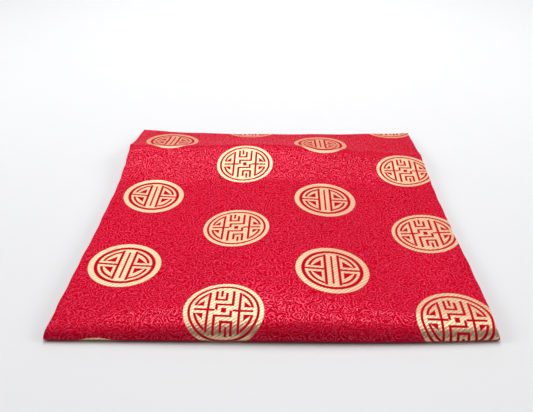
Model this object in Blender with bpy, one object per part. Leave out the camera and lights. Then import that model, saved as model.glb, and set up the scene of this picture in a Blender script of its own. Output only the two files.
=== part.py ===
"""Folded brocade panel: one length of cloth laid back and forth into a flat packet.

The cloth is a single solid. Its centre line is drawn in the YZ plane, from the cut end of the hidden
flap to the cut end of the top layer, and is repeated at stations across the width, where the heights
of the layers change a little. Each centre line is then thickened to the cloth's thickness.

Axes: +X to the right, +Y away from the front fold, +Z up. The origin is on the surface that the
packet lies on, at the middle of its footprint. Lengths are in metres.
"""

import math
from functools import partial

import bpy
import numpy as np

MM = 0.001

# Driving sizes
WIDTH = 264 * MM
DEPTH = 271 * MM
CLOTH = 1.0 * MM  # thickness of the cloth
HALF = CLOTH / 2
STATIONS = 25  # sections across the width

# Folds
CREST_DEPTH = 13.0 * MM  # where the top layer begins to turn down into the front fold
TOE_DEPTH = 3.0 * MM  # where the front fold comes down to the surface
NOSE_DEPTH = -1.5 * MM  # foremost point of the front fold's middle
NOSE_SHARE = 0.24  # height of the foremost point, as a share of the crest's
FRONT_FULLNESS = 2.2  # 2 is an ellipse, more is squarer
INNER_FOLD_DEPTH = 8.5 * MM  # front end of the fold hidden inside the front one
RIDGE_FOLD_DEPTH = 219.0 * MM  # back end of the fold under the ridge
FLAP_DEPTH = 186.0 * MM  # where the hidden flap, turned at the ridge, is cut
FOLD_ROOM = 2.0 * MM  # layers stop this far short of a fold's tip, and the fold draws the rest
FRONT_STEPS, TURN_STEPS = 12, 6

# Unevenness across the width
ROLL_LENGTH = 160.0 * MM  # from one soft roll to the next, across the width
CORNER_SPREAD = 3.5 * MM  # how far the front corners spread sideways at the bottom
CORNER_REACH = 7.0 * MM  # how fast that fades away from the corner
CORNER_POWER = 9  # the spread keeps to the last stations at each side
STRAY_POWER = 3  # strays grow towards the sides
CUT_WAVER = 0.5 * MM  # how far the cut back edge strays from straight
CUT_WAVES = 5.0  # strays across the width

# Height of the top layer's middle, in millimetres, at each depth behind the front: at the left edge,
# in the middle and at the right edge, then how high the soft rolls across the width stand.
SECTION = ("depth", "left", "middle", "right", "roll")
SECTIONS = (
    (6, 7.0, 11.4, 9.0, 0.2),
    (20, 8.8, 11.4, 8.6, 0.9),
    (50, 9.0, 10.4, 7.8, 1.7),
    (80, 8.8, 9.2, 6.8, 2.1),
    (110, 8.6, 7.9, 6.2, 2.1),
    (140, 8.2, 7.0, 5.9, 1.7),
    (165, 8.2, 7.1, 6.2, 1.6),
    (190, 11.2, 11.0, 7.6, 1.6),
    (205, 14.8, 14.8, 9.2, 1.5),
    (219, 17.6, 17.4, 10.4, 1.3),
    (226, 15.2, 15.0, 9.2, 0.9),
    (245, 10.2, 9.8, 7.4, 0.5),
    (270, 5.6, 4.8, 5.2, 0.0),
)

# How far the folds stray from straight towards the sides, in millimetres: to the back at the left and
# right edges, and how far each edge lies outside or inside its straight line.
STRAY = ("depth", "left_back", "right_back", "left_out", "right_out")
STRAYS = (
    (0, 0.0, 3.0, 1.2, -1.5),
    (30, 0.0, 0.0, 0.4, 0.0),
    (100, 0.0, 0.0, -1.3, 0.0),
    (170, 0.0, 0.0, -0.8, 0.8),
    (219, 0.0, -5.5, 0.0, 1.0),
    (240, 3.0, -1.0, 0.5, 1.0),
    (271, 8.0, 3.0, 1.5, 2.0),
)

# Where each inner layer runs between the bottom layer (0) and the top layer (1), at each depth in
# millimetres. The flap is there only near the ridge.
SHARE = ("depth", "second", "third", "flap")
SHARES = (
    (0, 0.333, 0.667, 0.80),
    (150, 0.333, 0.667, 0.80),
    (185, 0.250, 0.500, 0.75),
    (222, 0.250, 0.500, 0.75),
    (245, 0.400, 0.600, 0.80),
    (271, 0.500, 0.600, 0.80),
)

# Depths, in millimetres, at which the layers are drawn between their folds
DRAWN = (12, 18, 25, 35, 50, 70, 95, 120, 145, 165, 180, 190, 200, 208, 214, 219, 223, 227, 232, 245, 258)

BROCADE_RED = (0.70, 0.02, 0.06, 1.0)
BROCADE_ROUGHNESS = 0.45
SHARP_ANGLE = math.radians(50)  # sharper edges than this stay crisp, as at the cut ends


def column(table, names, name):
    """One named column of a table, as an array."""
    return np.array([row[names.index(name)] for row in table], float)


def eased(depth, depths, values):
    """Values at a depth, on a smooth curve through the rows that never overshoots them."""
    step = np.diff(depths)
    rise = np.diff(values) / step
    slope = np.zeros_like(values)
    same_way = rise[:-1] * rise[1:] > 0
    joined = 2 * rise[:-1] * rise[1:] / np.where(same_way, rise[:-1] + rise[1:], 1)
    slope[1:-1] = np.where(same_way, joined, 0)
    slope[0], slope[-1] = rise[0], rise[-1]
    depth = np.clip(depth, depths[0], depths[-1])
    row = np.clip(np.searchsorted(depths, depth) - 1, 0, len(step) - 1)
    part = (depth - depths[row]) / step[row]
    start, end = 2 * part**3 - 3 * part**2 + 1, 3 * part**2 - 2 * part**3
    lean_in, lean_out = part**3 - 2 * part**2 + part, part**3 - part**2
    curve = start * values[row] + end * values[row + 1]
    return curve + step[row] * (lean_in * slope[row] + lean_out * slope[row + 1])


def looked_up(table, names, name, y):
    """A column of a table at depth y, in metres."""
    return eased(y, column(table, names, "depth") * MM, column(table, names, name) * MM)


def top_height(x, y):
    """Height of the top layer's middle."""
    side = x / (WIDTH / 2)
    left, middle, right, roll = (looked_up(SECTIONS, SECTION, name, y) for name in SECTION[1:])
    level = middle + (right - left) / 2 * side + ((right + left) / 2 - middle) * side**2
    return level + roll * math.cos(math.tau * x / ROLL_LENGTH)


def layer_height(layer, x, y):
    """Height of an inner layer's middle."""
    share = eased(y, column(SHARES, SHARE, "depth") * MM, column(SHARES, SHARE, layer))
    return HALF + share * (top_height(x, y) - HALF)


def bottom_height(y):
    """Height of the bottom layer's middle, which lies flat."""
    return HALF


def run(height, start, end):
    """Points of a layer from one depth to another, both left out, which its folds draw."""
    low, high = min(start, end), max(start, end)
    depths = [y * MM for y in DRAWN if low + HALF < y * MM < high - HALF]
    if end < start:
        depths.reverse()
    return [(y, float(height(y))) for y in depths]


def turn(tip, upper, lower, way):
    """A round fold down to the next layer, reaching depth tip. way is 1 at the back, -1 in front."""
    radius = (upper - lower) / 2
    angles = np.linspace(math.pi / 2, -math.pi / 2, TURN_STEPS + 1)
    return [
        (tip - way * radius * (1 - math.cos(a)), (upper + lower) / 2 + radius * math.sin(a))
        for a in angles
    ]


def front_fold(x):
    """The outer fold, from the bottom layer round the foremost point and the crest to the top layer."""
    top = float(top_height(x, CREST_DEPTH))
    nose = HALF + NOSE_SHARE * (top - HALF)
    points = []
    for angle in np.linspace(-math.pi / 2, math.pi / 2, FRONT_STEPS + 1):
        depth, reach = (CREST_DEPTH, top - nose) if angle > 0 else (TOE_DEPTH, nose - HALF)
        forward = max(math.cos(angle), 0.0) ** (2 / FRONT_FULLNESS)
        rise = math.copysign(abs(math.sin(angle)) ** (2 / FRONT_FULLNESS), angle)
        points.append((depth - (depth - NOSE_DEPTH) * forward, nose + reach * rise))
    return points


def centre_line(x):
    """(y, z) along the cloth, from the cut end of the hidden flap to the cut end of the top layer."""
    flap, second, third = (partial(layer_height, layer, x) for layer in ("flap", "second", "third"))
    top = partial(top_height, x)
    back = DEPTH - HALF
    tip = RIDGE_FOLD_DEPTH - HALF
    inner = INNER_FOLD_DEPTH + HALF
    cut = back - CUT_WAVER * (1 + math.sin(math.tau * CUT_WAVES * x / WIDTH))

    line = [(FLAP_DEPTH, float(flap(FLAP_DEPTH)))]
    line += run(flap, FLAP_DEPTH, tip - FOLD_ROOM)
    line += turn(tip, float(flap(tip)), float(third(tip)), 1)
    line += run(third, tip - FOLD_ROOM, inner + FOLD_ROOM)
    line += turn(inner, float(third(inner)), float(second(inner)), -1)
    line += run(second, inner + FOLD_ROOM, back - FOLD_ROOM)
    line += turn(back, float(second(back)), HALF, 1)
    line += run(bottom_height, back - FOLD_ROOM, TOE_DEPTH)
    line += front_fold(x)
    line += run(top, CREST_DEPTH, cut)
    line.append((cut, float(top(cut))))
    return np.array(line)


def both_faces(line):
    """The centre line moved half a thickness to either side."""
    steps = np.diff(line, axis=0)
    steps /= np.linalg.norm(steps, axis=1)[:, None]
    along = np.concatenate([steps[:1], steps[:-1] + steps[1:], steps[-1:]])
    along /= np.linalg.norm(along, axis=1)[:, None]
    out = np.stack([-along[:, 1], along[:, 0]], axis=1) * HALF
    return line + out, line - out


def out_of_square(x, y, z):
    """x and y after the folds' and edges' strays and the spread of the front corners."""
    side = x / (WIDTH / 2)
    edge = "right" if side > 0 else "left"
    way = math.copysign(1, side)
    back = looked_up(STRAYS, STRAY, edge + "_back", y) * abs(side) ** STRAY_POWER
    out = looked_up(STRAYS, STRAY, edge + "_out", y) * abs(side) ** STRAY_POWER
    spread = CORNER_SPREAD * np.exp(-((np.hypot(y, z) / CORNER_REACH) ** 2)) * abs(side) ** CORNER_POWER
    return x + way * (out + spread), y + back


def cloth_mesh():
    """The whole cloth as one closed mesh: two long faces, two side edges and two cut ends."""
    rings = []
    for x in np.linspace(-WIDTH / 2, WIDTH / 2, STATIONS):
        line = centre_line(float(x))
        one, other = both_faces(line)
        ring = np.concatenate([one, other[::-1]])
        across, back = out_of_square(float(x), ring[:, 0], ring[:, 1])
        rings.append(np.column_stack([across, back, ring[:, 1]]))
    points = np.concatenate(rings)
    points -= [
        (points[:, 0].min() + points[:, 0].max()) / 2,
        (points[:, 1].min() + points[:, 1].max()) / 2,
        points[:, 2].min(),
    ]
    around = len(rings[0])
    faces = []
    for station in range(STATIONS - 1):
        here, there = station * around, (station + 1) * around
        for i in range(around):
            j = (i + 1) % around
            faces.append((here + i, there + i, there + j, here + j))
    for k in range(around // 2 - 1):
        i, j = k, around - 1 - k
        last = (STATIONS - 1) * around
        faces.append((i, i + 1, j - 1, j))
        faces.append((last + i, last + j, last + j - 1, last + i + 1))
    mesh = bpy.data.meshes.new("panel_cloth")
    mesh.from_pydata(points.tolist(), [], faces)
    mesh.validate()
    mesh.shade_smooth()
    mesh.set_sharp_from_angle(angle=SHARP_ANGLE)
    return mesh


def brocade():
    """Red silk-like cloth with a soft sheen."""
    material = bpy.data.materials.new("brocade")
    material.use_nodes = True
    shader = material.node_tree.nodes["Principled BSDF"]
    shader.inputs["Base Color"].default_value = BROCADE_RED
    shader.inputs["Roughness"].default_value = BROCADE_ROUGHNESS
    shader.inputs["Metallic"].default_value = 0.0
    return material


def main():
    for thing in list(bpy.data.objects):
        bpy.data.objects.remove(thing, do_unlink=True)
    panel = bpy.data.objects.new("panel_cloth", cloth_mesh())
    panel.data.materials.append(brocade())
    bpy.context.scene.collection.objects.link(panel)


main()
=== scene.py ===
"""Folded Brocade Panel: a length of red brocade with gold medallions, laid back and forth into a packet.

One operator makes the cloth, as one thin sheet that follows every fold of the packet, with its woven
pattern in a procedural material. Another sets the pale floor, the studio lights and the camera.
Lengths are in metres, +X runs along the front fold, +Y away from it and +Z up.
"""

import math

import bpy
import numpy as np
from bpy.props import FloatProperty, FloatVectorProperty, IntProperty, PointerProperty
from mathutils import Euler, Matrix, Vector


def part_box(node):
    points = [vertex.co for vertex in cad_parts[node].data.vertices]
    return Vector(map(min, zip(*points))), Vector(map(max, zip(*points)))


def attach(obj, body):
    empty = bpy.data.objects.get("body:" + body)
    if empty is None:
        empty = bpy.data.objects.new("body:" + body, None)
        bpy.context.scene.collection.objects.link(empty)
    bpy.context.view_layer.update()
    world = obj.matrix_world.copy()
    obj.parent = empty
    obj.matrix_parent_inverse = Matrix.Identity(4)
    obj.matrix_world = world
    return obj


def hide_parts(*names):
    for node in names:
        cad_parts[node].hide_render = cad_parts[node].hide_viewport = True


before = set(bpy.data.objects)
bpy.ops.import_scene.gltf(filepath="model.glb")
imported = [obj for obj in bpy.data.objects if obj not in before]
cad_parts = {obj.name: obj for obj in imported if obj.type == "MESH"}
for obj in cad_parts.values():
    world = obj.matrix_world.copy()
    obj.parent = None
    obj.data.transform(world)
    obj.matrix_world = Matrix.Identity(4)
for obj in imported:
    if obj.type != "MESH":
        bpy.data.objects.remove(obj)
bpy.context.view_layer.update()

bl_info = {
    "name": "Folded Brocade Panel",
    "version": (1, 0, 0),
    "blender": (4, 5, 0),
    "location": "View3D > Sidebar > Brocade",
    "description": "A red brocade panel with gold medallions, folded into a packet, on a studio floor",
    "category": "Object",
}

MM = 0.001
SOLID_LOW, SOLID_HIGH = (Vector(corner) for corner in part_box("panel_cloth"))


# ---------------------------------------------------------------------------------------------------
# Settings
# ---------------------------------------------------------------------------------------------------


def length(name, description, default):
    """A length property."""
    return FloatProperty(
        name=name, description=description, default=default, min=0.0, unit="LENGTH", precision=5
    )


def colour(name, description, default):
    """A colour property, linear."""
    return FloatVectorProperty(
        name=name, description=description, default=default, subtype="COLOR", size=3, min=0.0, max=1.0
    )


def angle(name, description, degrees):
    """An angle property."""
    return FloatProperty(
        name=name, description=description, default=math.radians(degrees), subtype="ANGLE"
    )


class BrocadeFoldSettings(bpy.types.PropertyGroup):
    """Sizes of the cloth and of its folds."""

    width: length("Width", "Width of the cloth", 264 * MM)
    depth: length("Depth", "From the front fold to the back one, in the middle", 271 * MM)
    thickness: length("Thickness", "Thickness of the brocade", 0.6 * MM)
    crest_depth: length("Crest depth", "Where the top layer begins to turn down in front", 13 * MM)
    toe_depth: length("Toe depth", "Where the front fold comes down to the surface", 3 * MM)
    inner_depth: length("Inner fold", "Front end of the fold hidden inside the front one", 8.5 * MM)
    ridge_depth: length("Ridge fold", "Back end of the fold under the ridge", 219 * MM)
    flap_depth: length("Flap", "Where the hidden flap, turned at the ridge, is cut", 186 * MM)
    roll_length: length("Roll length", "From one soft roll across the width to the next", 160 * MM)
    corner_spread: length("Corner spread", "How far the front corners spread sideways", 3.5 * MM)
    across: IntProperty(name="Columns", description="Mesh columns across the width", default=121, min=9)


class BrocadeWeaveSettings(bpy.types.PropertyGroup):
    """Sizes and colours of the woven pattern."""

    medallion: length("Medallion", "Diameter of a gold medallion", 50 * MM)
    repeat_across: length("Repeat across", "From one medallion to the next like it", 139.96 * MM)
    repeat_along: length("Repeat along", "From one row of like medallions to the next", 91.29 * MM)
    first_across: length("First across", "First barred medallion, from the left edge", 31.12 * MM)
    first_along: length("First along", "First barred medallion, from the front toe", 69.6 * MM)
    lean: angle("Lean", "How far the pattern is turned against the folds", -1.232)
    rib_pitch: length("Rib pitch", "From one binding rib of the gold weft to the next", 2.0 * MM)
    scroll: length("Scroll size", "Size of one scroll of the tone-on-tone ground", 9 * MM)
    scroll_line: length("Scroll line", "From one line of a scroll to the next", 2.0 * MM)
    ground: colour("Ground", "Crimson of the ground weave", (0.66, 0.0015, 0.018))
    satin: colour("Satin", "Crimson of the raised satin lines", (0.88, 0.034, 0.10))
    gold: colour("Gold", "Metallic weft of the medallions", (0.93, 0.66, 0.42))
    # Brown of the rib troughs: partly the binding threads that cross the gold, partly painted shade on the
    # low side of each rib.
    binder_and_rib_shade: colour("Binder", "Gold where the binding threads cross it", (0.70, 0.30, 0.14))
    outline: colour("Outline", "Red lines inside the medallions", (0.62, 0.003, 0.025))


class BrocadeStageSettings(bpy.types.PropertyGroup):
    """Floor, lights and camera."""

    floor: colour("Floor", "Colour of the floor and backdrop", (0.84, 0.84, 0.85))
    camera_ahead: length("Camera ahead", "Camera's distance in front of the front fold", 222.4 * MM)
    camera_height: length("Camera height", "Camera's height above the floor", 242.7 * MM)
    camera_aside: FloatProperty(
        name="Camera aside", description="Camera's distance to the right of the middle",
        default=1.9 * MM, unit="LENGTH", precision=5,
    )
    pitch: angle("Pitch", "How far the camera looks down", 33.21)
    yaw: angle("Yaw", "How far the camera looks to the right", -1.071)
    roll: angle("Roll", "How far the camera leans", -0.268)
    lens: FloatProperty(name="Lens", description="Focal length in millimetres", default=36.55, min=10.0)


# ---------------------------------------------------------------------------------------------------
# Shader maths
# ---------------------------------------------------------------------------------------------------


class Value:
    """A number or vector that changes over a surface. Arithmetic on a number adds Math nodes."""

    def __init__(self, paint, socket):
        self.paint, self.socket = paint, socket

    def math(self, operation, *others, clamp=False):
        settings = {"operation": operation, "use_clamp": clamp}
        return self.paint.node("ShaderNodeMath", settings, dict(enumerate((self, *others))))

    def __add__(self, other):
        return self.math("ADD", other)

    __radd__ = __add__

    def __mul__(self, other):
        return self.math("MULTIPLY", other)

    __rmul__ = __mul__

    def __sub__(self, other):
        return self.math("SUBTRACT", other)

    def __rsub__(self, other):
        return self.math("MULTIPLY_ADD", -1.0, other)

    def __truediv__(self, other):
        return self.math("DIVIDE", other)

    def __abs__(self):
        return self.math("ABSOLUTE")

    def least(self, other):
        return self.math("MINIMUM", other)

    def most(self, other):
        return self.math("MAXIMUM", other)

    def sine(self):
        return self.math("SINE")

    def root(self):
        return self.math("SQRT")

    def wrapped(self):
        """The part of the value from -0.5 to 0.5, repeated for every whole number."""
        return (self + 0.5).math("FRACT") - 0.5

    def above(self, edge, soft):
        """0 below the edge and 1 above it, over a soft step."""
        return self.math("MULTIPLY_ADD", 1 / soft, 0.5 - edge / soft, clamp=True)

    def below(self, edge, soft):
        """1 below the edge and 0 above it, over a soft step."""
        return self.math("MULTIPLY_ADD", -1 / soft, 0.5 + edge / soft, clamp=True)

    def within(self, low, high, soft):
        """1 between two edges and 0 outside them."""
        half = (high - low) / 2
        return abs(self - (low + high) / 2).below(half, soft)

    def blend(self, other, share):
        """This value where share is 0, the other where it is 1."""
        return self + (other - self) * share


class Paint:
    """Adds nodes to one material."""

    def __init__(self, name):
        self.material = bpy.data.materials.new(name)
        self.material.use_nodes = True
        self.tree = self.material.node_tree
        self.shader = self.tree.nodes["Principled BSDF"]

    def set(self, socket, value):
        """Links a value, or sets a plain number or colour."""
        if isinstance(value, Value):
            self.tree.links.new(value.socket, socket)
        else:
            socket.default_value = value

    def node(self, kind, settings=None, sockets=None, output=0):
        """A node of any kind: settings first, then its sockets by name or number. Gives one output."""
        made = self.tree.nodes.new(kind)
        for key, value in (settings or {}).items():
            setattr(made, key, value)
        for key, value in (sockets or {}).items():
            self.set(made.inputs[key], value)
        return Value(self, made.outputs[output])

    def mixed(self, share, first, second):
        """first where share is 0, second where it is 1, for colours."""
        settings = {"data_type": "RGBA", "clamp_factor": True}
        sockets = {0: share, 6: opaque(first), 7: opaque(second)}
        return self.node("ShaderNodeMix", settings, sockets, output=2)

    def shaded(self, tint, amount):
        """A colour multiplied by a value."""
        grey = self.node("ShaderNodeCombineColor", None, {0: amount, 1: amount, 2: amount})
        settings = {"data_type": "RGBA", "blend_type": "MULTIPLY"}
        sockets = {0: 1.0, 6: opaque(tint), 7: grey}
        return self.node("ShaderNodeMix", settings, sockets, output=2)

    def point(self, x, y):
        """A place on the flat cloth, as a vector."""
        return self.node("ShaderNodeCombineXYZ", None, {0: x, 1: y})

    def parts(self, vector):
        """The three parts of a vector."""
        node = self.node("ShaderNodeSeparateXYZ", None, {0: vector}).socket.node
        return tuple(Value(self, socket) for socket in node.outputs)

    def noise(self, place, scale, detail=2.0, roughness=0.5):
        """Soft noise from 0 to 1, with so many lumps to the metre."""
        sockets = {"Vector": place, "Scale": scale, "Detail": detail, "Roughness": roughness}
        return self.node("ShaderNodeTexNoise", {"noise_dimensions": "3D"}, sockets)

    def finish(self, sockets):
        """Sets the Principled BSDF's sockets by name and gives the material."""
        for name, value in sockets.items():
            self.set(self.shader.inputs[name], value)
        return self.material


def opaque(value):
    """A plain colour gets its alpha, and a linked one stays as it is."""
    if isinstance(value, Value):
        return value
    return (*value[:3], 1.0)


# ---------------------------------------------------------------------------------------------------
# The folded shape
# ---------------------------------------------------------------------------------------------------

# Height of the top layer's middle, in millimetres, at each depth behind the front: at the left edge,
# in the middle and at the right edge, then how high the soft rolls across the width stand.
SECTION = ("depth", "left", "middle", "right", "roll")
SECTIONS = (
    (6, 7.0, 11.4, 9.0, 0.2),
    (20, 8.8, 11.4, 8.6, 0.9),
    (50, 9.0, 10.4, 7.8, 1.7),
    (80, 8.8, 9.2, 6.8, 2.1),
    (110, 8.6, 7.9, 6.2, 2.1),
    (140, 8.2, 7.0, 5.9, 1.7),
    (165, 8.2, 7.1, 6.2, 1.6),
    (190, 11.2, 11.0, 7.6, 1.6),
    (205, 14.8, 14.8, 9.2, 1.5),
    (219, 17.6, 17.4, 10.4, 1.3),
    (226, 15.2, 15.0, 9.2, 0.9),
    (245, 10.2, 9.8, 7.4, 0.5),
    (270, 5.6, 4.8, 5.2, 0.0),
)

# How far the folds stray from straight towards the sides, in millimetres: to the back at the left and
# right edges, and how far each edge lies outside or inside its straight line.
STRAY = ("depth", "left_back", "right_back", "left_out", "right_out")
STRAYS = (
    (0, 0.0, 3.0, 1.2, -1.5),
    (30, 0.0, 0.0, 0.4, 0.0),
    (100, 0.0, 0.0, -1.3, 0.0),
    (170, 0.0, 0.0, -0.8, 0.8),
    (219, 0.0, -5.5, 0.0, 1.0),
    (240, 3.0, -1.0, 0.5, 1.0),
    (271, 8.0, 3.0, 1.5, 2.0),
)

# Where each inner layer runs between the bottom layer (0) and the top layer (1), at each depth in
# millimetres.
SHARE = ("depth", "second", "third", "flap")
SHARES = (
    (0, 0.333, 0.667, 0.80),
    (150, 0.333, 0.667, 0.80),
    (185, 0.250, 0.500, 0.75),
    (222, 0.250, 0.500, 0.75),
    (245, 0.400, 0.600, 0.80),
    (271, 0.500, 0.600, 0.80),
)

# Soft creases pressed into the top layer, in millimetres and degrees: the middle of each across the
# width and behind the front, its length, its width, its turn from the front fold, and its height,
# which is negative for a trough.
CREASE = ("across", "depth", "length", "width", "turn", "height")
CREASES = (
    (-95, 14, 16, 3.5, 12, 0.45),
    (-74, 10, 20, 3.0, -8, -0.50),
    (-50, 17, 24, 4.0, 6, 0.35),
    (4, 9, 18, 3.0, 7, -0.30),
    (62, 12, 22, 3.2, -6, -0.45),
    (98, 16, 18, 4.0, 10, 0.40),
    (-104, 200, 30, 5.0, -4, 0.30),
    (20, 196, 36, 5.0, 5, -0.30),
    (86, 190, 26, 5.0, -9, 0.35),
    (-30, 90, 60, 9.0, 82, -0.25),
    (55, 120, 70, 10.0, 97, 0.25),
)

SOLID_HALF = 0.5 * MM  # the solid's half thickness: the sheet's right side lies on the solid's
FRONT_FULLNESS = 2.2  # 2 is an ellipse, more is squarer
NOSE_DEPTH = -1.5 * MM  # foremost point of the front fold's middle
NOSE_SHARE = 0.24  # height of the foremost point, as a share of the crest's
CORNER_REACH = 7.0 * MM
CORNER_POWER, STRAY_POWER = 9, 3
CUT_WAVER, CUT_WAVES = 0.5 * MM, 5.0
EDGE_WAVER, EDGE_POWER = 0.18 * MM, 14  # unevenness of the two side edges
LONG_WAVE, SHORT_WAVE = 9.0 * MM, 3.7 * MM  # lengths of that unevenness along the edge
LONG_SHIFT, SHORT_SHIFT = 40, 300  # shift of the waves from layer to layer, in radians a metre
SHARP_ANGLE = math.radians(60)  # sharper edges than this stay crisp, as at the cut edges
STEPS = {
    "flap": 6, "ridge": 10, "third": 36, "inner": 10, "second": 40,
    "back": 8, "bottom": 34, "toe": 12, "crest": 20, "top": 124,
}


def column(table, names, name):
    """One named column of a table, as an array."""
    return np.array([row[names.index(name)] for row in table], float)


def eased(depth, depths, values):
    """Values at a depth, on a smooth curve through the rows that never overshoots them."""
    step = np.diff(depths)
    rise = np.diff(values) / step
    slope = np.zeros_like(values)
    same_way = rise[:-1] * rise[1:] > 0
    joined = 2 * rise[:-1] * rise[1:] / np.where(same_way, rise[:-1] + rise[1:], 1)
    slope[1:-1] = np.where(same_way, joined, 0)
    slope[0], slope[-1] = rise[0], rise[-1]
    depth = np.clip(depth, depths[0], depths[-1])
    row = np.clip(np.searchsorted(depths, depth) - 1, 0, len(step) - 1)
    part = (depth - depths[row]) / step[row]
    start, end = 2 * part**3 - 3 * part**2 + 1, 3 * part**2 - 2 * part**3
    lean_in, lean_out = part**3 - 2 * part**2 + part, part**3 - part**2
    curve = start * values[row] + end * values[row + 1]
    return curve + step[row] * (lean_in * slope[row] + lean_out * slope[row + 1])


def looked_up(table, names, name, y):
    """A column of a table at depth y, in metres."""
    return eased(y, column(table, names, "depth") * MM, column(table, names, name) * MM)


class Packet:
    """The folded cloth: where each point of the flat length lies."""

    def __init__(self, sizes):
        self.sizes = sizes

    def top(self, x, y):
        """Height of the top layer's middle."""
        side = x / (self.sizes.width / 2)
        left, middle, right, roll = (looked_up(SECTIONS, SECTION, name, y) for name in SECTION[1:])
        level = middle + (right - left) / 2 * side + ((right + left) / 2 - middle) * side**2
        return level + roll * math.cos(math.tau * x / self.sizes.roll_length)

    def layer(self, name, x, y):
        """Height of an inner layer's middle."""
        share = eased(y, column(SHARES, SHARE, "depth") * MM, column(SHARES, SHARE, name))
        return SOLID_HALF + share * (self.top(x, y) - SOLID_HALF)

    def run(self, height, start, end, steps):
        """Points along a layer, its first left out."""
        depth = np.linspace(start, end, steps + 1)[1:]
        return np.column_stack([depth, height(depth) * np.ones(steps)])

    def turn(self, tip, upper, lower, way, steps):
        """A round fold down to the next layer, its first point left out."""
        radius = (upper - lower) / 2
        bend = np.linspace(math.pi / 2, -math.pi / 2, steps + 1)[1:]
        depth = tip - way * radius * (1 - np.cos(bend))
        return np.column_stack([depth, (upper + lower) / 2 + radius * np.sin(bend)])

    def front(self, x):
        """The outer fold: under the toe, round the foremost point and over the crest."""
        s = self.sizes
        crest = float(self.top(x, s.crest_depth))
        nose = SOLID_HALF + NOSE_SHARE * (crest - SOLID_HALF)
        quarters = (
            (np.linspace(-math.pi / 2, 0, STEPS["toe"] + 1)[1:], s.toe_depth, nose - SOLID_HALF),
            (np.linspace(0, math.pi / 2, STEPS["crest"] + 1)[1:], s.crest_depth, crest - nose),
        )
        points = []
        for bend, reach, rise in quarters:
            forward = np.maximum(np.cos(bend), 0.0) ** (2 / FRONT_FULLNESS)
            up = np.sign(bend) * np.abs(np.sin(bend)) ** (2 / FRONT_FULLNESS)
            points.append(np.column_stack([reach - (reach - NOSE_DEPTH) * forward, nose + rise * up]))
        return np.concatenate(points)

    def line(self, x):
        """(depth, height) along the cloth's middle, from the flap's cut end to the top's cut end."""
        s = self.sizes
        back, tip, inner = s.depth - SOLID_HALF, s.ridge_depth - SOLID_HALF, s.inner_depth + SOLID_HALF
        cut = back - CUT_WAVER * (1 + math.sin(math.tau * CUT_WAVES * x / s.width))
        height = {name: (lambda y, name=name: self.layer(name, x, y)) for name in SHARE[1:]}
        ridge_upper, ridge_lower = float(height["flap"](tip)), float(height["third"](tip))
        inner_upper, inner_lower = float(height["third"](inner)), float(height["second"](inner))
        back_upper = float(height["second"](back))
        ridge_start = tip - (ridge_upper - ridge_lower) / 2
        inner_start = inner + (inner_upper - inner_lower) / 2
        back_start = back - (back_upper - SOLID_HALF) / 2
        first = [[s.flap_depth, float(height["flap"](s.flap_depth))]]
        return np.concatenate([
            np.array(first),
            self.run(height["flap"], s.flap_depth, ridge_start, STEPS["flap"]),
            self.turn(tip, ridge_upper, ridge_lower, 1, STEPS["ridge"]),
            self.run(height["third"], ridge_start, inner_start, STEPS["third"]),
            self.turn(inner, inner_upper, inner_lower, -1, STEPS["inner"]),
            self.run(height["second"], inner_start, back_start, STEPS["second"]),
            self.turn(back, back_upper, SOLID_HALF, 1, STEPS["back"]),
            self.run(lambda y: SOLID_HALF, back_start, s.toe_depth, STEPS["bottom"]),
            self.front(x),
            self.run(lambda y: self.top(x, y), s.crest_depth, cut, STEPS["top"]),
        ])

    def creased(self, x, depth):
        """Height of the soft creases at a place on the top layer."""
        total = np.zeros_like(depth)
        for row in CREASES:
            crease = dict(zip(CREASE, row))
            turn = math.radians(crease["turn"])
            dx, dy = x - crease["across"] * MM, depth - crease["depth"] * MM
            along = dx * math.cos(turn) + dy * math.sin(turn)
            aside = dy * math.cos(turn) - dx * math.sin(turn)
            fade = (along / (crease["length"] * MM)) ** 2 + (aside / (crease["width"] * MM)) ** 2
            total += crease["height"] * MM * np.exp(-fade)
        return total

    def out_of_square(self, x, y, z):
        """x and y after the folds' and edges' strays and the spread of the front corners."""
        side = x / (self.sizes.width / 2)
        edge = "right" if side > 0 else "left"
        way = math.copysign(1, side)
        back = looked_up(STRAYS, STRAY, edge + "_back", y) * abs(side) ** STRAY_POWER
        out = looked_up(STRAYS, STRAY, edge + "_out", y) * abs(side) ** STRAY_POWER
        corner = np.exp(-((np.hypot(y, z) / CORNER_REACH) ** 2)) * abs(side) ** CORNER_POWER
        waver = np.sin(y / LONG_WAVE + LONG_SHIFT * z) + np.sin(y / SHORT_WAVE + way + SHORT_SHIFT * z)
        waver *= EDGE_WAVER * abs(side) ** EDGE_POWER
        return x + way * (out + waver + self.sizes.corner_spread * corner), y + back

    def faces_of(self, x):
        """Points of both faces at one column, and how far along the cloth each lies from the toe."""
        line = self.line(x)
        steps = np.diff(line, axis=0)
        steps /= np.linalg.norm(steps, axis=1)[:, None]
        way = np.concatenate([steps[:1], steps[:-1] + steps[1:], steps[-1:]])
        way /= np.linalg.norm(way, axis=1)[:, None]
        out = np.column_stack([-way[:, 1], way[:, 0]])
        toe = sum(STEPS[name] for name in ("flap", "ridge", "third", "inner", "second", "back", "bottom"))
        crest = toe + STEPS["toe"]
        lift = np.zeros(len(line))
        lift[crest:] = self.creased(x, line[crest:, 0])
        face = line + out * (SOLID_HALF + lift)[:, None]
        along = np.concatenate([[0.0], np.cumsum(np.linalg.norm(np.diff(face, axis=0), axis=1))])
        return face, face - out * self.sizes.thickness, along - along[toe]


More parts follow.
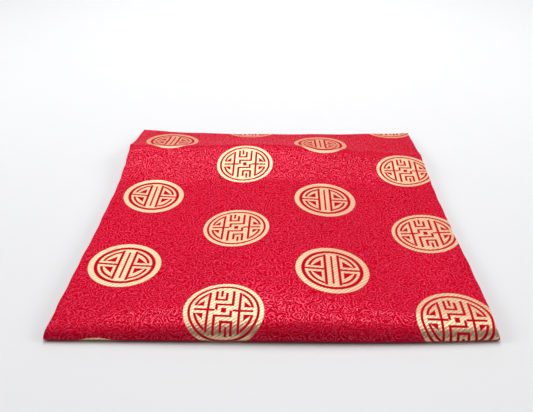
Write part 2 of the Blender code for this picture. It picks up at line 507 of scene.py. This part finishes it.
def brocade_mesh(sizes):
    """The folded cloth as one closed sheet, with the place on the flat cloth kept at every point."""
    packet = Packet(sizes)
    columns = np.linspace(-sizes.width / 2, sizes.width / 2, sizes.across)
    loops, places = [], []
    for x in columns:
        face, back, along = packet.faces_of(float(x))
        ring = np.concatenate([face, back[::-1]])
        across, depth = packet.out_of_square(float(x), ring[:, 0], ring[:, 1])
        loops.append(np.column_stack([across, depth, ring[:, 1]]))
        wrong = np.repeat([0.0, 1.0], len(face))
        places.append(np.column_stack([np.full(len(ring), x), np.concatenate([along, along[::-1]]), wrong]))
    points, places = np.concatenate(loops), np.concatenate(places)
    points += [
        (SOLID_LOW.x + SOLID_HIGH.x - points[:, 0].min() - points[:, 0].max()) / 2,
        SOLID_LOW.y - points[:, 1].min(),
        SOLID_LOW.z - points[:, 2].min(),
    ]
    around = len(loops[0])
    i = np.arange(around)
    j = (i + 1) % around
    here = np.arange(len(columns) - 1)[:, None] * around
    sides = np.stack([here + i, here + around + i, here + around + j, here + j], axis=-1).reshape(-1, 4)
    k = np.arange(around // 2 - 1)
    first = np.column_stack([k, k + 1, around - 2 - k, around - 1 - k])
    last = first[:, ::-1] + (len(columns) - 1) * around
    mesh = bpy.data.meshes.new("brocade_panel")
    mesh.from_pydata(points.tolist(), [], np.concatenate([sides, first, last]).tolist())
    place = mesh.attributes.new("cloth_place", "FLOAT_VECTOR", "POINT")
    place.data.foreach_set("vector", places.astype(np.float32).ravel())
    mesh.shade_smooth()
    mesh.set_sharp_from_angle(angle=SHARP_ANGLE)
    return mesh


def flat_length(sizes):
    """Length of the cloth when it is unfolded."""
    along = Packet(sizes).faces_of(0.0)[2]
    return float(along[-1] - along[0])


# ---------------------------------------------------------------------------------------------------
# The woven pattern
# ---------------------------------------------------------------------------------------------------

# Straight red lines and blocks of each medallion, in units of its radius from its middle: low x,
# high x, low y, high y. The barred one repeats in all four quarters, and the keyed one turns half
# round onto its other half.
BARRED_LINES = (
    (-0.028, 0.028, 0.00, 0.60),  # between the two middle bars
    (0.145, 0.220, 0.00, 0.66),  # outside them
    (0.145, 0.740, -0.038, 0.038),  # level line
)
KEYED_LINES = (
    (-0.415, -0.348, 0.00, 0.630),  # left upright
    (0.348, 0.415, 0.00, 0.630),  # right upright
    (-0.720, -0.215, -0.036, 0.036),  # level line to the left
    (0.215, 0.720, -0.036, 0.036),  # level line to the right
    (-0.062, 0.062, -0.080, 0.080),  # eye in the middle
    (-0.215, 0.245, 0.152, 0.222),  # over the eye
    (-0.215, -0.147, 0.00, 0.222),  # beside the eye
    (0.176, 0.245, 0.152, 0.690),  # riser of the key
    (-0.245, 0.075, 0.325, 0.395),  # under the cup
    (-0.245, -0.176, 0.325, 0.690),  # cup's left side
    (0.006, 0.075, 0.325, 0.630),  # cup's right side
    (-0.117, -0.053, 0.480, 0.715),  # tongue in the cup
)
SKEW, SKEW_MIDDLE = -0.0286, 51 * MM  # slope of the weft where the front fold drew it askew
SKEW_END, SKEW_FADE = 50 * MM, 60 * MM  # how far behind the toe that fades, and over what length
LINE_SOFT = 0.016  # softness of the lines' edges, in medallion radii
RIM = 0.98  # edge of the gold, a little inside the full radius
HOOK_FOOT, HOOK_BAR = 0.12, 0.07  # gold under and beside each hook's red triangle
KEYED_ACROSS, KEYED_ALONG = 0.5141, 0.5186  # from a barred to a keyed medallion, in repeats

DRIFT_SIZE, DRIFT_REACH = 6 * MM, 7 * MM  # size of the bends in the scrolls, and how far they reach
DRIFT_APART = 0.3  # metres between the two stretches of noise that bend the scrolls
DASH_SIZE, DASH_STRETCH = 1.1 * MM, 0.7  # dashes between the scrolls, a little longer across
GRAIN_SIZE, BLOTCH_SIZE = 0.8 * MM, 45 * MM  # lumps of the threads, and broad changes of tone
WEFT_PITCH = 0.55 * MM
RIB_ALONG, RIB_ACROSS = 0.79, -0.62  # way the ribs follow each other


def drawn_lines(x, y, lines):
    """1 on the straight red lines of a medallion."""
    drawn = None
    for low_x, high_x, low_y, high_y in lines:
        box = x.within(low_x, high_x, LINE_SOFT).least(y.within(low_y, high_y, LINE_SOFT))
        drawn = box if drawn is None else drawn.most(box)
    return drawn


def hook(x, y, radius, upright, rim, reach):
    """Red outline of a quarter field, and the red triangle inside the gold hook."""
    arc = radius.within(*rim, LINE_SOFT)
    arc = arc.least(x.above(upright, LINE_SOFT)).least(y.above(HOOK_FOOT, LINE_SOFT))
    corner = upright + HOOK_BAR
    inside = x.above(corner, LINE_SOFT).least(y.above(HOOK_FOOT, LINE_SOFT))
    slant = (x + y).below(corner + HOOK_FOOT + reach, LINE_SOFT)
    return arc.most(inside.least(slant))


def rings(radius, edges):
    """1 on the red rings, given as pairs of inner and outer radii."""
    drawn = None
    for inner, outer in edges:
        ring = radius.within(inner, outer, LINE_SOFT)
        drawn = ring if drawn is None else drawn.most(ring)
    return drawn


def barred_medallion(x, y, radius):
    """Red parts of the medallion with two upright bars and a hook in each quarter."""
    x, y = abs(x), abs(y)
    red = drawn_lines(x, y, BARRED_LINES).most(hook(x, y, radius, 0.22, (0.585, 0.66), 0.27))
    return red.most(rings(radius, ((0.73, 0.83),)))


def keyed_medallion(x, y, radius):
    """Red parts of the medallion with an eye, a key above and below it and hooks beside it."""
    way = y.above(0.0, 0.0005) * 2 - 1
    red = drawn_lines(x * way, abs(y), KEYED_LINES)
    red = red.most(hook(abs(x), abs(y), radius, 0.42, (0.675, 0.742), 0.195))
    return red.most(rings(radius, ((0.812, 0.878),)))


def medallions(weave, width, across, along):
    """1 on the medallions, then 1 on their gold."""
    askew = (across - SKEW_MIDDLE) * SKEW * along.below(SKEW_END, SKEW_FADE)
    from_x = across - (weave.first_across - width / 2)
    from_y = along - weave.first_along - askew
    cosine, sine = math.cos(weave.lean), math.sin(weave.lean)
    column_at = (from_x * cosine + from_y * sine) / weave.repeat_across
    row_at = (from_y * cosine - from_x * sine) / weave.repeat_along
    unit_x = weave.repeat_across / (weave.medallion / 2)
    unit_y = weave.repeat_along / (weave.medallion / 2)
    discs, golds = [], []
    for drawing, shift_x, shift_y in (
        (barred_medallion, 0.0, 0.0),
        (keyed_medallion, KEYED_ACROSS, KEYED_ALONG),
    ):
        x = (column_at - shift_x).wrapped() * unit_x
        y = (row_at - shift_y).wrapped() * unit_y
        radius = (x * x + y * y).root()
        disc = radius.below(RIM, LINE_SOFT)
        discs.append(disc)
        golds.append(disc * (1 - drawing(x, y, radius)))
    return discs[0].most(discs[1]), golds[0].most(golds[1])


def scrolls(paint, weave, across, along, grain):
    """1 on the raised satin lines of the tone-on-tone ground."""
    flat = paint.point(across, along)
    drift_x = paint.noise(flat, 1 / DRIFT_SIZE, 1.0)
    drift_y = paint.noise(paint.point(across + DRIFT_APART, along), 1 / DRIFT_SIZE, 1.0)
    bent = paint.point(across + (drift_x - 0.5) * DRIFT_REACH, along + (drift_y - 0.5) * DRIFT_REACH)
    cells = paint.node(
        "ShaderNodeTexVoronoi",
        {"voronoi_dimensions": "2D", "feature": "F1"},
        {"Vector": bent, "Scale": 1 / weave.scroll, "Randomness": 1.0},
    )
    turns = cells * (weave.scroll / weave.scroll_line) + drift_x * 2.0 + grain * 0.5
    lines = (turns * math.tau).sine().above(0.45, 0.5) * (0.4 + grain.above(0.47, 0.08) * 0.6)
    dashes = paint.noise(paint.point(across * DASH_STRETCH, along), 1 / DASH_SIZE, 1.0).above(0.60, 0.08)
    return lines.most(dashes * 0.8)


def brocade_material(weave, width):
    """Crimson damask ground with raised satin scrolls, and gold medallions in alternate rows."""
    paint = Paint("red gold brocade")
    place = paint.node("ShaderNodeAttribute", {"attribute_name": "cloth_place"}, output="Vector")
    across, along, wrong = paint.parts(place)
    flat = paint.point(across, along)
    grain = paint.noise(flat, 1 / GRAIN_SIZE, 3.0, 0.65)
    blotch = paint.noise(flat, 1 / BLOTCH_SIZE, 2.0)
    disc, gold = medallions(weave, width, across, along)
    satin = scrolls(paint, weave, across, along, grain) * (1 - disc)
    ribs = ((along * RIB_ALONG + across * RIB_ACROSS) / weave.rib_pitch * math.tau).sine()
    rib_low = ribs.below(-0.60, 0.6)
    weft = (along / WEFT_PITCH * math.tau).sine()

    red = paint.mixed(satin, weave.ground, weave.satin)
    red = paint.mixed(disc, red, weave.outline)
    red = paint.shaded(red, 0.45 + grain * 0.98 + (blotch - 0.5) * 0.14)
    # The gold turns brown in the troughs of the ribs: partly the binding threads, partly painted shade of
    # the ribs' low sides.
    metal = paint.mixed(rib_low * 0.75, weave.gold, weave.binder_and_rib_shade)
    metal = paint.shaded(metal, 0.86 + grain * 0.24)
    shown_gold = gold.blend(disc * (1 - gold), wrong)

    # How dull each thread is, and how high it stands, in millimetres
    rough_red = 0.56 - satin * 0.30 + (grain - 0.5) * 0.16
    rough_gold = 0.30 + rib_low * 0.20 + (grain - 0.5) * 0.16
    height = satin * 0.20 + gold * 0.09 + gold * ribs * 0.08 + weft * 0.006 + grain * 0.16
    bump = paint.node(
        "ShaderNodeBump", None, {"Strength": 0.8, "Distance": 1 * MM, "Height": height}
    )
    return paint.finish({
        "Base Color": paint.mixed(shown_gold, red, metal),
        "Roughness": rough_red.blend(rough_gold, shown_gold),
        "Metallic": (0.05 + satin * 0.75).blend(0.72, shown_gold),
        "Normal": bump,
        "IOR": 1.03,
        "Coat Weight": satin * grain.above(0.54, 0.08) * 0.8,
        "Coat Roughness": 0.20,
        "Specular Tint": (0.80, 0.32, 0.38, 1.0),
    })


# ---------------------------------------------------------------------------------------------------
# Operators
# ---------------------------------------------------------------------------------------------------


def linked(name, data):
    """A new object in the scene."""
    made = bpy.data.objects.new(name, data)
    bpy.context.scene.collection.objects.link(made)
    return made


class BROCADE_OT_panel(bpy.types.Operator):
    """Make the folded brocade panel"""

    bl_idname = "brocade.panel"
    bl_label = "Folded panel"

    def execute(self, context):
        sizes, weave = context.scene.brocade_fold, context.scene.brocade_weave
        panel = linked("brocade_panel", brocade_mesh(sizes))
        panel.data.materials.append(brocade_material(weave, sizes.width))
        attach(panel, "root")
        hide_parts("panel_cloth")
        flat_length(sizes)
        return {"FINISHED"}


# Soft lights, in metres and watts: where each one is, the point it faces, its size and its power.
LIGHTS = (
    ("key light", (0.0, 0.65, 1.2), (0.0, 0.65, 0.0), (1.0, 1.0), 11.5),
    ("ceiling light", (0.0, 0.8, 2.0), (0.0, 0.8, 0.0), (3.0, 2.3), 9.8),
    ("left light", (-1.2, 0.0, 0.8), (-0.3, -0.1, 0.0), (0.6, 0.6), 6.8),
    ("right light", (1.2, 0.0, 0.8), (0.3, -0.1, 0.0), (0.6, 0.6), 6.8),
)
WORLD_COLOUR, WORLD_STRENGTH = (0.9, 0.92, 0.95, 1.0), 0.10
FLOOR_ROUGHNESS = 0.55


def area_light(name, place, aim, size, power):
    """A soft rectangular light that faces a point."""
    lamp = bpy.data.lights.new(name, "AREA")
    lamp.shape = "RECTANGLE"
    lamp.size, lamp.size_y = size
    lamp.energy = power
    holder = linked(name, lamp)
    holder.location = place
    holder.rotation_euler = (Vector(aim) - Vector(place)).to_track_quat("-Z", "Y").to_euler()


def backdrop_mesh():
    """A floor that curves up into a back wall."""
    front, back, wall, bend, half = -2.5, 1.6, 2.6, 0.9, 3.0
    arc = [
        (back - bend + bend * math.sin(a), bend - bend * math.cos(a))
        for a in np.linspace(0, math.pi / 2, 17)
    ]
    outline = [(front, 0.0), *arc, (back, wall)]
    points = [(x, y, z) for y, z in outline for x in (-half, half)]
    faces = [(2 * n, 2 * n + 1, 2 * n + 3, 2 * n + 2) for n in range(len(outline) - 1)]
    mesh = bpy.data.meshes.new("floor")
    mesh.from_pydata(points, [], faces)
    mesh.shade_smooth()
    return mesh


class BROCADE_OT_stage(bpy.types.Operator):
    """Set the pale floor, the studio lights and the camera"""

    bl_idname = "brocade.stage"
    bl_label = "Studio stage"

    def execute(self, context):
        scene, stage = context.scene, context.scene.brocade_stage
        floor = linked("floor", backdrop_mesh())
        paint = Paint("studio floor")
        place = paint.node("ShaderNodeTexCoord", output="Object")
        fleck = paint.noise(place, 3.0, 2.0)
        tint = paint.shaded(stage.floor, 0.985 + fleck * 0.03)
        floor.data.materials.append(paint.finish({"Base Color": tint, "Roughness": FLOOR_ROUGHNESS}))

        for light in LIGHTS:
            area_light(*light)
        world = scene.world or bpy.data.worlds.new("studio")
        scene.world = world
        world.use_nodes = True
        background = world.node_tree.nodes["Background"]
        background.inputs["Color"].default_value = WORLD_COLOUR
        background.inputs["Strength"].default_value = WORLD_STRENGTH

        camera = linked("camera", bpy.data.cameras.new("camera"))
        camera.data.sensor_width = 36.0
        camera.data.lens = stage.lens
        camera.data.clip_start = 0.01
        camera.location = (
            (SOLID_LOW.x + SOLID_HIGH.x) / 2 + stage.camera_aside,
            SOLID_LOW.y - stage.camera_ahead,
            SOLID_LOW.z + stage.camera_height,
        )
        turn = Euler((math.pi / 2 - stage.pitch, 0.0, -stage.yaw)).to_matrix()
        lean = Matrix.Rotation(stage.roll, 3, "Z")
        camera.rotation_euler = (turn @ lean).to_euler()
        scene.camera = camera
        scene.view_settings.view_transform = "Standard"
        return {"FINISHED"}


class BROCADE_PT_sidebar(bpy.types.Panel):
    """Buttons and settings"""

    bl_label = "Folded Brocade Panel"
    bl_space_type = "VIEW_3D"
    bl_region_type = "UI"
    bl_category = "Brocade"

    def draw(self, context):
        for operator in OPERATORS:
            self.layout.operator(operator.bl_idname, text=operator.bl_label)
        for group in ("brocade_fold", "brocade_weave", "brocade_stage"):
            settings = getattr(context.scene, group)
            box = self.layout.box()
            for name in settings.__annotations__:
                box.prop(settings, name)


OPERATORS = (BROCADE_OT_panel, BROCADE_OT_stage)
SETTINGS = {
    "brocade_fold": BrocadeFoldSettings,
    "brocade_weave": BrocadeWeaveSettings,
    "brocade_stage": BrocadeStageSettings,
}


def register():
    for group in SETTINGS.values():
        bpy.utils.register_class(group)
    for name, group in SETTINGS.items():
        setattr(bpy.types.Scene, name, PointerProperty(type=group))
    for operator in OPERATORS:
        bpy.utils.register_class(operator)
    bpy.utils.register_class(BROCADE_PT_sidebar)


def unregister():
    bpy.utils.unregister_class(BROCADE_PT_sidebar)
    for operator in reversed(OPERATORS):
        bpy.utils.unregister_class(operator)
    for name, group in SETTINGS.items():
        delattr(bpy.types.Scene, name)
        bpy.utils.unregister_class(group)


def main():
    register()
    bpy.ops.brocade.panel()
    bpy.ops.brocade.stage()
    bpy.context.view_layer.update()


if __name__ == "__main__":
    main()
